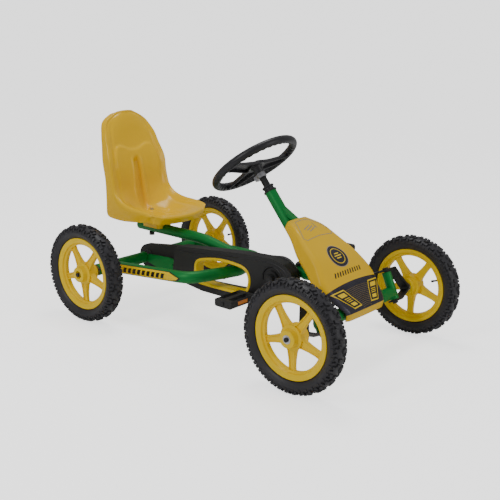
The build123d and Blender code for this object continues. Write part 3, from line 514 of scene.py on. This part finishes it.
def seat_mesh():
    """Shell with its relief, rolled edge and skirt."""
    rows = smooth_path(SEAT_LINE, 9)
    n_rows, n_cols = len(rows), SEAT_COLS
    pts = np.zeros((n_rows, n_cols, 3))
    tang = unit_rows(np.gradient(rows[:, :2], axis=0))
    for i in range(n_rows):
        X, Z, half, edge_x, edge_z, _, _ = rows[i]
        normal = np.array((-tang[i][1], 0, tang[i][0]))     # towards the driver
        for j in range(n_cols):
            v = -1 + 2 * j / (n_cols - 1)
            curl = abs(v) ** 2.4
            bow = step(i, n_rows - 16, n_rows - 1) * (8 * (1 - v * v) - 7 * v ** 4)
            pts[i, j] = (np.array((X + (edge_x - X) * curl + bow, half * v,
                                   Z + (edge_z - Z) * curl))
                         + normal * seat_relief(i, v, X, Z, half))
    nrm = np.cross(np.gradient(pts, axis=0), np.gradient(pts, axis=1))
    nrm /= np.linalg.norm(nrm, axis=2)[:, :, None]
    if nrm[n_rows // 3, n_cols // 2][0] < 0:
        nrm = -nrm
    verts = [tuple(p) for p in pts.reshape(-1, 3)]
    faces = grid_faces(n_rows, n_cols)

    # the border, once round, with its outward, upward and falling directions smoothed
    loop = ([(0, j) for j in range(n_cols)] + [(i, n_cols - 1) for i in range(1, n_rows)]
            + [(n_rows - 1, j) for j in range(n_cols - 2, -1, -1)]
            + [(i, 0) for i in range(n_rows - 2, 0, -1)])
    border = np.array([pts[i, j] for i, j in loop])
    upward = np.array([nrm[i, j] for i, j in loop])
    outward, fall = [], []
    for i, j in loop:
        sign = 1 if j > n_cols // 2 else -1
        v = -1 + 2 * j / (n_cols - 1)
        if i == 0:                                          # top of the back
            outward.append((-0.35, 0.2 * v, 0.9))
            fall.append((-14, SKIRT_OUT * v, -2))
        elif i == n_rows - 1:                               # front of the pan
            outward.append((0.97, 0.2 * v, -0.1))
            fall.append((2, SKIRT_OUT * v, -25))
        else:
            ahead = rows[i + 1] - rows[i - 1]
            out = np.cross((ahead[3], sign * ahead[2], ahead[4]), (-tang[i][1], 0, tang[i][0]))
            out *= sign * np.sign(out[1]) / np.linalg.norm(out)
            outward.append(out)
            fall.append(np.array((rows[i][5] - rows[i][3], 0, rows[i][6] - rows[i][4]))
                        + SKIRT_OUT * out)
    outward, fall = np.array(outward), np.array(fall, float)
    for _ in range(12):
        outward = unit_rows(outward + 0.5 * neighbours(outward))
        upward = unit_rows(upward + 0.5 * neighbours(upward))
        fall = 0.5 * fall + 0.25 * neighbours(fall)

    before = [i * n_cols + j for i, j in loop]
    for out, up, share in SEAT_RINGS:
        ring = list(range(len(verts), len(verts) + len(border)))
        verts += [tuple(border[k] + outward[k] * out * (1 - share) + upward[k] * up * (1 - share)
                        + fall[k] * share) for k in range(len(border))]
        for k in range(len(ring)):
            m = (k + 1) % len(ring)
            faces.append((before[k], before[m], ring[m], ring[k]))
        before = ring
    return verts, faces


verts, faces = seat_mesh()
seat = piece("seat_shell_look", verts, faces, "seat", SEAT, ("seat_shell",),
             smooth=60)
modifier(seat, "SOLIDIFY", thickness=0.0034, offset=-1.0, use_even_offset=False)
modifier(seat, "SUBSURF", levels=1, render_levels=1)

# ---- fairing ----------------------------------------------------------------
FAIRING = [  # X, Z, elevation of the face normal, half width, crown, flank depth
    (190, 386, 70, 47, 2, 24), (240, 369, 62, 69, 3, 34), (290, 335, 52, 88, 3, 44),
    (340, 299, 48, 104, 3, 46), (384, 252, 42, 124, 5, 32), (420, 209, 39, 112, 4, 12),
    (449, 175, 25, 95, 3, 8), (447, 148, 2, 92, 2, 8),
]
NOSE = smooth_path(FAIRING, 14)
NOSE_LENGTH = np.concatenate([[0], np.cumsum(np.linalg.norm(np.diff(NOSE[:, :2], axis=0),
                                                            axis=1))])
ROUND_FROM, SHOULDER = 0.86, 6.0       # where the face starts to turn down, and by how much
BAND_TOP, BAND_BOTTOM, BAND_BOW = 256.5, 346.0, 8.0
NOSE_COLS = 41                         # points across the face, without its side walls


def nose_station(down):
    """Centre line point, outward direction, half width, crown, shoulder and flank there."""
    X, Z, pitch, half, crown, flank = [np.interp(down, NOSE_LENGTH, NOSE[:, k]) for k in range(6)]
    out = np.array((math.cos(math.radians(pitch)), 0, math.sin(math.radians(pitch))))
    return np.array((X, 0, Z)), out, half, crown, min(SHOULDER, flank * 0.5), flank


def nose_point(down, across, lift=0.0):
    """Point of the nose face: down in mm along the centre line, across -1 to 1."""
    origin, out, half, crown, turn, _ = nose_station(down)
    past = max(0.0, abs(across) - ROUND_FROM) / (1 - ROUND_FROM)
    height = -crown * across * across - turn * past * past
    slope = 2 * crown * across + 2 * turn * math.copysign(past, across) / (1 - ROUND_FROM)
    bend = math.atan2(slope, half)
    n = out * math.cos(bend) + np.array((0, 1, 0)) * math.sin(bend)
    return origin + np.array((0, half * across, 0)) + out * height + n * lift


def nose_section(down):
    """Cross-section of the nose; its lines bow with the band's upper edge."""
    warp = step(down, 170, BAND_TOP) * (1 - step(down, BAND_TOP, BAND_BOTTOM))
    origin, out, half, crown, turn, flank = nose_station(down + BAND_BOW * warp)
    low = crown + turn
    wall = flank - turn                    # the lip ends where the CAD flank ends
    side_wall = [(1.016, -low - min(2.6, wall * 0.2)), (1.025, -low - min(6.0, wall * 0.4)),
                 (1.028, -low - wall * 0.6), (1.031, -low - wall * 0.8), (1.034, -low - wall)]
    pts = []
    for f, h in reversed(side_wall):
        pts.append(origin + out * h + np.array((0, -half * f, 0)))
    for k in range(NOSE_COLS):
        c = -1 + k / 20
        pts.append(nose_point(down + BAND_BOW * c * c * warp, c))
    for f, h in side_wall:
        pts.append(origin + out * h + np.array((0, half * f, 0)))
    return pts


downs = np.concatenate([np.linspace(0, BAND_TOP, 66), np.linspace(BAND_TOP, BAND_BOTTOM, 26)[1:],
                        np.linspace(BAND_BOTTOM, NOSE_LENGTH[-1], 7)[1:]])
verts = [p for d in downs for p in nose_section(d)]
nose_cols = len(verts) // len(downs)
fairing = piece("fairing_look", verts, grid_faces(len(downs), nose_cols), "frame",
                FAIR, ("fairing",), smooth=60, mats=[GRAPHITE])
for poly in fairing.data.polygons:
    if BAND_TOP - 0.1 < downs[poly.index // (nose_cols - 1)] < BAND_BOTTOM - 0.1:
        poly.material_index = 1        # the dark band
modifier(fairing, "SOLIDIFY", thickness=0.003, offset=-1.0)


def inside(q, u, w):
    """Point of a quad at share u down and w across."""
    return ((1 - u) * ((1 - w) * q[0] + w * q[1]) + u * ((1 - w) * q[3] + w * q[2])).tolist()


def inset(q, u0, u1, w0, w1):
    """Smaller quad between shares of a quad."""
    return [inside(q, u0, w0), inside(q, u0, w1), inside(q, u1, w1), inside(q, u1, w0)]


def film(name, parts, material):
    """Printed or stuck-on film on the frame, out of several grids."""
    verts, faces = joined(parts)
    piece(name, verts, faces, "frame", material, smooth=60)


def decal(name, quads, material, lift):
    """Thin film on the nose: quads in (down, across) corners, laid on the curved face."""
    n = 14
    shares = [k / n for k in range(n + 1)]
    parts = []
    for quad in quads:
        q = np.array(quad, float)
        pts = [nose_point(*inside(q, u, w), lift) for u in shares for w in shares]
        parts.append((pts, grid_faces(n + 1, n + 1)))
    film(name, parts, material)


def ribbon(name, lines, width, material, lift=0.3):
    """Thin printed lines on the nose along (down, across) corners."""
    parts = []
    for line in lines:
        p = np.array(line, float)
        path = np.vstack([np.linspace(p[i], p[i + 1], 9)[:-1] for i in range(len(p) - 1)]
                         + [p[-1:]])
        mid = np.array([nose_point(d, c, lift) for d, c in path])
        flow = np.gradient(mid, axis=0)
        verts = []
        for k, (d, c) in enumerate(path):
            n = nose_point(d, c, lift + 1) - mid[k]
            s = np.cross(flow[k], n)
            s *= width / 2 / np.linalg.norm(s)
            verts += [mid[k] - s, mid[k] + s]
        parts.append((verts, grid_faces(len(path), 2)))
    film(name, parts, material)


def disc(name, down, radius, material, lift):
    """Round film on the middle of the nose."""
    half = np.interp(down, NOSE_LENGTH, NOSE[:, 3])
    verts = [nose_point(down, 0, lift)]
    for ring in (0.5, 1.0):
        for k in range(48):
            a = 2 * math.pi * k / 48
            verts.append(nose_point(down + radius * ring * math.sin(a),
                                    radius * ring * math.cos(a) / half, lift))
    faces = [(0, 1 + k, 1 + (k + 1) % 48) for k in range(48)]
    faces += [(1 + k, 49 + k, 49 + (k + 1) % 48, 1 + (k + 1) % 48) for k in range(48)]
    film(name, [(verts, faces)], material)


LAMP = [(273, 0.99), (272, 0.52), (333.5, 0.24), (336, 0.63)]      # outer top corner first
for side, name in ((-1, "right"), (1, "left")):
    q = np.array([(d, c * side) for d, c in LAMP])
    decal(f"lamp_frame_{name}", [q], DECAL_YELLOW, 0.25)
    decal(f"lamp_ground_{name}", [inset(q, 0.06, 0.94, 0.07, 0.93)], INK, 0.4)
    bars = [inset(q, 0.14, 0.34, 0.22, 0.78), inset(q, 0.70, 0.86, 0.24, 0.74)]
    for k in range(3):
        u = 0.42 + 0.085 * k
        bars.append(inset(q, u, u + 0.035, 0.26, 0.76))
    decal(f"lamp_bars_{name}", bars, DECAL_YELLOW, 0.55)
# fine lines between the lamps, shorter towards the bottom
band_lines = []
for k in range(13):
    d = 275 + 5.2 * k
    reach = 0.50 - 0.26 * (d - 271) / 65
    band_lines.append([(d + 3, -reach), (d, 0), (d + 3, reach)])
ribbon("band_lines", band_lines, 0.7, GOLD)
# outlined panel under the column, arched along its lower edge
outline = [(93, -0.50), (95, -0.72), (86, -0.86), (60, -0.80), (15, -0.55), (12.5, 0),
           (15, 0.55), (60, 0.80), (86, 0.86), (95, 0.72), (93, 0.50), (90, 0.0), (93, -0.50)]
ribbon("nose_outline", [outline], 1.8, SILVER)
nose_strokes = [[(56, -0.50), (44, 0.02)], [(62, -0.38), (50, 0.14)], [(68, -0.26), (56, 0.26)],
                [(62, 0.30), (38, 0.34)]]
ribbon("nose_strokes", nose_strokes, 2.6, SILVER)

# plain round badge: a dark disc with a ring and three short bars, over a row of strokes
BADGE = 173
disc("badge_rim", BADGE, 38.0, SILVER, 0.25)
disc("badge_field", BADGE, 36.0, GRAPHITE, 0.4)
disc("badge_heart", BADGE, 27.0, DECAL_YELLOW, 0.55)
disc("badge_core", BADGE, 24.5, GRAPHITE, 0.7)
badge_bars = [[(BADGE + d, -c), (BADGE + d, c)] for d, c in ((-8, 0.10), (0, 0.15), (8, 0.10))]
ribbon("badge_bars", badge_bars, 3.6, DECAL_YELLOW, 0.95)
strokes = [[(235, c - 0.028), (221, c + 0.028)] for c in np.linspace(-0.5, 0.5, 11)]
ribbon("nose_marks", strokes, 5.0, INK)

# ---- stripe on each side of the rear loop -----------------------------------
# along the loop in mm from the rear axle; (x, y) of two points on the tube's axis
LOOP_RISE = math.atan2(18.5, 367.0)
LOOP_Z = 161.5                         # height of the axis at the rear axle
STRIPE_FAR, STRIPE_FRONT = (60.0, 198.0), (326.0, 166.0)
LOOP_R = 19.0


def on_loop(side, x, turn, lift):
    """Point on the outboard face of the loop tube; turn in degrees up from level."""
    t = (x - STRIPE_FAR[0]) / (STRIPE_FRONT[0] - STRIPE_FAR[0])
    y = STRIPE_FAR[1] + t * (STRIPE_FRONT[1] - STRIPE_FAR[1])
    r, a = LOOP_R + lift, math.radians(turn)
    px, pz = x - r * math.sin(a) * math.sin(LOOP_RISE), r * math.sin(a)
    return (-AXLE_X + px * math.cos(LOOP_RISE), side * (y + r * math.cos(a)),
            LOOP_Z + px * math.sin(LOOP_RISE) + pz)


def stripe(name, side, corners, material, lift):
    """Film wrapped on the loop: quads with (x, turn) corners, rear top first."""
    parts = []
    for quad in corners:
        q = np.array(quad, float)
        pts = [on_loop(side, *inside(q, u / 16, w / 16), lift)
               for w in range(17) for u in range(17)]
        parts.append((pts, grid_faces(17, 17)))
    film(name, parts, material)


for side, name in ((-1, "right"), (1, "left")):
    edge = [[(54, 55), (262, 52), (266, -48), (38, -52)],
            [(262, 52), (305, 0), (295, -28), (266, -48)]]
    stripe(f"stripe_edge_{name}", side, edge, INK, 0.18)
    field = [[(61, 47), (258, 44), (262, -40), (46, -44)],
             [(258, 44), (298, 0), (289, -21), (262, -40)]]
    stripe(f"stripe_{name}", side, field, DECAL_YELLOW, 0.3)
    marks = [[(x, 24), (x + 12, 24), (x + 7, -26), (x - 5, -26)] for x in range(80, 233, 19)]
    stripe(f"stripe_marks_{name}", side, marks, INK, 0.45)

# ---- rounded trim of the guard's window --------------------------------------
# outlines in (x, z); sections in (width away from the outline, y or height over the face)
WINDOW = [(-150, 192), (-120, 207), (-48, 219), (28, 216), (54, 204), (62, 180), (54, 152),
          (38, 141), (-131, 138), (-150, 150)]
TRIM_BACK = -37.0
TRIM_SECTION = [(0.5, TRIM_BACK), (0.5, GUARD_FACE + 1), (1.2, GUARD_FACE - 1.4),
                (3.0, GUARD_FACE - 2.6), (6.0, GUARD_FACE - 3.0), (9.0, GUARD_FACE - 2.6),
                (10.6, GUARD_FACE - 1.2), (11.0, GUARD_FACE + 0.5), (4.5, GUARD_FACE + 1.5),
                (3.5, TRIM_BACK)]
# three times round, so that the middle turn has no ends
trim = smooth_path(WINDOW * 3, 10)[10 * len(WINDOW):20 * len(WINDOW)]
for _ in range(4):
    trim = 0.5 * trim + 0.25 * neighbours(trim)
flow = unit_rows(np.roll(trim, -1, axis=0) - np.roll(trim, 1, axis=0))
outer = np.stack([-flow[:, 1], flow[:, 0]], axis=1)
if ((outer * (trim - trim.mean(axis=0))).sum(axis=1)).mean() < 0:
    outer = -outer
verts = [(p[0] + n[0] * w, y, p[1] + n[1] * w) for p, n in zip(trim, outer)
         for w, y in TRIM_SECTION]
piece("guard_trim_look", verts, grid_faces(len(trim), len(TRIM_SECTION), True, True), "frame",
      RIM, ("guard_trim",), smooth=50)

# raised line along the top of the front guard
TOP_LINE = [(-232, 222), (-180, 226), (-97, 236), (41, 250), (140, 254), (186, 246), (212, 226),
            (217, 200)]
LINE_SECTION = [(-3.0, 0.6), (-1.8, -0.9), (0, -1.5), (1.8, -0.9), (3.0, 0.6)]
top_line = smooth_path(TOP_LINE, 10)
flow = unit_rows(np.gradient(top_line, axis=0))
verts = [(p[0] - f[1] * w, GUARD_FACE + y, p[1] + f[0] * w) for p, f in zip(top_line, flow)
         for w, y in LINE_SECTION]
piece("guard_line_look", verts, grid_faces(len(top_line), len(LINE_SECTION)), "frame",
      BLACK, smooth=60)

# raised rings on the guards round the crank and the rear axle
CRANK_RING = [(34, 0.8), (34.8, -1.2), (37, -2.6), (39.2, -1.4), (40, 0.8)]
AXLE_RING = [(19, 0.8), (19.6, -1.6), (21.5, -2.4), (23.4, -1.6), (24, 0.8)]
for name, centre, face, ring in (
        ("crank_ring_look", CRANK, GUARD_FACE, CRANK_RING),
        ("axle_ring_look", (-AXLE_X, WHEEL_R), REAR_GUARD_FACE, AXLE_RING)):
    verts, faces = lathe([(face + y, r) for r, y in ring], 72)
    piece(name, [(centre[0] + px, py, centre[1] + pz) for px, py, pz in verts], faces, "frame",
          BLACK, smooth=50)

# ---- steering wheel -------------------------------------------------------
WHEEL_UP = np.array((-math.sin(TILT), 0, math.cos(TILT)))
WHEEL_X = np.array((0.0, 1.0, 0.0))
WHEEL_Y = np.cross(WHEEL_UP, WHEEL_X)  # towards the driver and down
NOTCHES = 38                           # finger notches on the inside of the ring
ARM_ANGLES = (90, -8, 188)
# an arm's stations: radius, half width, height over the ring's plane
ARM = ((14, 27, -3.5), (40, 24.5, -4.5), (80, 20.5, -3), (112, 18, -1), (124, 19.5, -0.5))
FOLD = 12                              # depth of an arm's folded edges


def on_column(x, y, h):
    """Point across, towards the driver and up from the ring's centre."""
    return RING_CENTRE + WHEEL_X * x + WHEEL_Y * y + WHEEL_UP * h


def ring_mesh():
    """Grip with notches on its inner side."""
    verts = []
    steps, sides = 464, 28
    for k in range(steps):
        a = 2 * math.pi * k / steps
        notch = (0.5 - 0.5 * math.cos(NOTCHES * a)) ** 1.6
        for q in range(sides):
            b = 2 * math.pi * q / sides
            inner = max(0.0, -math.cos(b - 0.2)) ** 0.8
            r = GRIP_R - 0.25 - 4.2 * inner * notch
            rad = RING_R + r * math.cos(b)
            verts.append(on_column(rad * math.cos(a), rad * math.sin(a), r * math.sin(b)))
    return verts, grid_faces(steps, sides, True, True)


def spoke_mesh(angle):
    """Flat tapered arm with folded-down edges, dipping from the ring to the hub."""
    verts = []
    c, s = math.cos(angle), math.sin(angle)
    for r, w, h in ARM:
        outline = [(-w - 1, h - FOLD), (-w, h - 2.2), (-w + 2.2, h), (w - 2.2, h), (w, h - 2.2),
                   (w + 1, h - FOLD), (w - 2, h - FOLD), (w - 3, h - 3.4), (-w + 3, h - 3.4),
                   (-w + 2, h - FOLD)]
        verts += [on_column(r * c - u * s, r * s + u * c, z) for u, z in outline]
    return verts, grid_faces(len(ARM), 10, False, True)


def column_lathe(profile, steps=48):
    """Revolved piece on the column: (radius, height) outline from bottom to top."""
    verts = []
    for k in range(steps):
        a = 2 * math.pi * k / steps
        verts += [on_column(r * math.cos(a), r * math.sin(a), h) for r, h in profile]
    return verts, grid_faces(steps, len(profile), True, False)


HUB_PLATE = [(0.01, -10), (30, -14), (31, -12), (31, -5.5), (29.5, -4.2), (0.01, -4.2)]
HUB_SLEEVE = [(11.2, -34), (14.4, -34), (15, -33), (15.4, -18), (22, -10), (11.2, -10)]
verts, faces = joined([ring_mesh()] + [spoke_mesh(math.radians(a)) for a in ARM_ANGLES]
                      + [column_lathe(HUB_PLATE), column_lathe(HUB_SLEEVE)])
piece("steering_wheel_look", verts, faces, "steering", GRIP, ("steering_wheel",),
      smooth=42)
# flanged collar at the top of the head tube
HEAD_TOP = (HEAD_TOP_Z - RING_CENTRE[2]) / math.cos(TILT)
collar = [(11.4, 0.0), (19.2, 0.0), (20.4, 1.0), (20.4, 4.6), (19.2, 5.8), (16.4, 6.8), (15.6, 8.0),
          (15.6, 13.4), (16.4, 14.4), (18.2, 15.0), (18.8, 16.0), (18.8, 18.4), (17.8, 19.6),
          (14.0, 20.4), (12.4, 21.0), (11.4, 21.0)]
verts, faces = column_lathe([(r, HEAD_TOP + h) for r, h in collar])
piece("head_collar_look", verts, faces, "frame", BLACK, ("head_collar",),
      smooth=40)
# rounded pad across the hub, longer towards the driver
pad = []
for k in range(13):
    f = -1 + k / 6
    w = 19.5 * math.sqrt(max(0.0, 1 - (0.93 * f) ** 4))
    for q in range(17):
        g = -1 + q / 8
        h = -4.6 + 8.6 * (1 - abs(g) ** 3.2) * (1 - abs(f) ** 4.5)
        pad.append(on_column(w * g, 4 + 31 * f, h))
piece("wheel_pad_look", pad, grid_faces(13, 17), "steering", BLACK,
      ("wheel_cap",), smooth=50)


# ---- floor, light, camera -------------------------------------------------
# floor and backdrop look paler to the camera than they light the object
SKY, FLOOR_WHITE, FLOOR_GLOW = 0.42, 0.93, 1.5
WHITE = (1, 1, 1, 1)
bpy.ops.mesh.primitive_plane_add(size=60, location=(0, 0, -0.0005))
floor = bpy.context.object
floor.name = "floor"
floor_paint = shader("floor_white", (FLOOR_WHITE,) * 3, 0.6, vary=0.005, bump=0.01)
t = floor_paint.node_tree
floor_shader = t.nodes["Principled BSDF"]
floor_shader.inputs["Emission Color"].default_value = WHITE
ray = t.nodes.new("ShaderNodeLightPath")
glow = t.nodes.new("ShaderNodeMath")
glow.operation = "MULTIPLY"
glow.inputs[1].default_value = FLOOR_GLOW
t.links.new(ray.outputs["Is Camera Ray"], glow.inputs[0])
t.links.new(glow.outputs["Value"], floor_shader.inputs["Emission Strength"])
floor.data.materials.append(floor_paint)

world = bpy.data.worlds.new("studio")
bpy.context.scene.world = world
world.use_nodes = True
t = world.node_tree
sky = t.nodes["Background"]
sky.inputs["Color"].default_value = WHITE
sky.inputs["Strength"].default_value = SKY
backdrop = t.nodes.new("ShaderNodeBackground")
backdrop.inputs["Color"].default_value = WHITE
backdrop.inputs["Strength"].default_value = FLOOR_GLOW + FLOOR_WHITE * SKY
seen = t.nodes.new("ShaderNodeLightPath")
choose = t.nodes.new("ShaderNodeMixShader")
t.links.new(seen.outputs["Is Camera Ray"], choose.inputs["Fac"])
t.links.new(sky.outputs["Background"], choose.inputs[1])
t.links.new(backdrop.outputs["Background"], choose.inputs[2])
t.links.new(choose.outputs["Shader"], t.nodes["World Output"].inputs["Surface"])


LIGHT_AIM = Vector((0, 0, 0.25))


def area_light(name, place, size, power):
    """Soft rectangular light turned to the middle of the kart; watts and metres."""
    data = bpy.data.lights.new(name, "AREA")
    data.shape = "RECTANGLE"
    data.size, data.size_y = size
    data.energy = power
    ob = bpy.data.objects.new(name, data)
    ob.location = place
    ob.rotation_mode = "QUATERNION"
    ob.rotation_quaternion = (LIGHT_AIM - Vector(place)).to_track_quat("-Z", "Y")
    bpy.context.scene.collection.objects.link(ob)


area_light("key", (-0.2, -2.8, 2.3), (0.4, 1.8), 26)
area_light("top", (-0.4, 0.4, 3.0), (1.1, 0.9), 22)
area_light("side", (3.0, 0.6, 1.3), (0.5, 1.4), 12)

# camera fitted to the photograph: angles in radians, place in metres
YAW, PITCH, ROLL = 0.6934, 0.2685, 0.01718
CAMERA_AT = (1.6767, -2.0054, 0.9722)
SENSOR, LENS = 36.0, 62.22
back = Vector((math.sin(YAW) * math.cos(PITCH), -math.cos(YAW) * math.cos(PITCH), math.sin(PITCH)))
right0 = Vector((0, 0, 1)).cross(back).normalized()
up0 = back.cross(right0)
right = right0 * math.cos(ROLL) + up0 * math.sin(ROLL)
up = up0 * math.cos(ROLL) - right0 * math.sin(ROLL)
camera = bpy.data.objects.new("camera", bpy.data.cameras.new("camera"))
camera.data.sensor_width = SENSOR
camera.data.lens = LENS
camera.matrix_world = Matrix((
    (right.x, up.x, back.x, CAMERA_AT[0]), (right.y, up.y, back.y, CAMERA_AT[1]),
    (right.z, up.z, back.z, CAMERA_AT[2]), (0, 0, 0, 1)))
bpy.context.scene.collection.objects.link(camera)
bpy.context.scene.camera = camera
